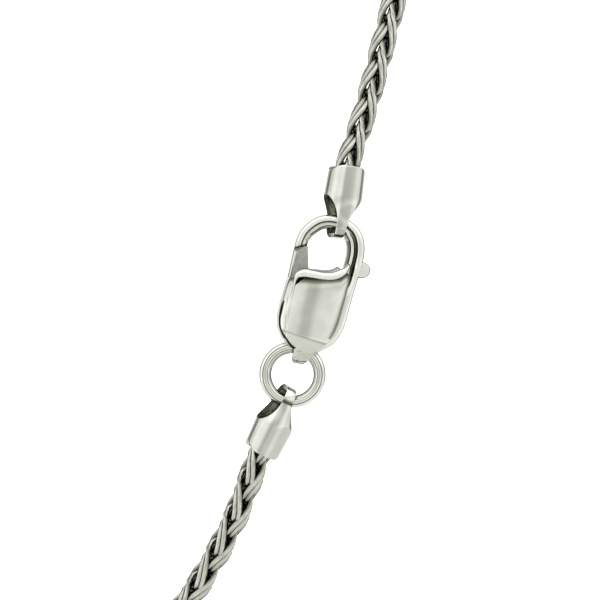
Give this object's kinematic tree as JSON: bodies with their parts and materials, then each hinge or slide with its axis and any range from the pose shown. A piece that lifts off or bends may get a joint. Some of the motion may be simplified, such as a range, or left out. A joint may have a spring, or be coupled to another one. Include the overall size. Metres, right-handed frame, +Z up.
{
  "type": "wheat chain necklace with lobster clasp",
  "caption": "Polished silver wheat chain necklace, a hanging loop of interlocked oval links closed by a lobster clasp with sprung gate, jump ring and strap end caps.",
  "frame": {"origin": "the middle of the underside of the chain's highest point, where it hangs", "axes": "+Z up; the loop lies in the XZ plane, +X towards the clasp's side, -Y towards the viewer"},
  "size_m": [0.0986, 0.0036, 0.1886],
  "materials": {
    "chain_silver": "polished, rhodium plated, darker between the links",
    "silver": "polished, rhodium plated"
  },
  "bodies": {
    "necklace": {"chain": "chain_silver", "end_cap_upper": "silver", "end_cap_lower": "silver", "clasp_body": "silver", "lever_pin": "silver", "jump_ring": "silver"},
    "lever": {"clasp_lever": "silver"}
  },
  "joints": [
    {"name": "lever_swing", "type": "hinge", "parent": "necklace", "child": "lever", "pos_m": [0.03098, 0, -0.14398], "axis": [0, 1, 0], "range_deg": [0, 18], "stiffness_Nm_per_rad": 0.00005, "springref_deg": -28.65}
  ]
}
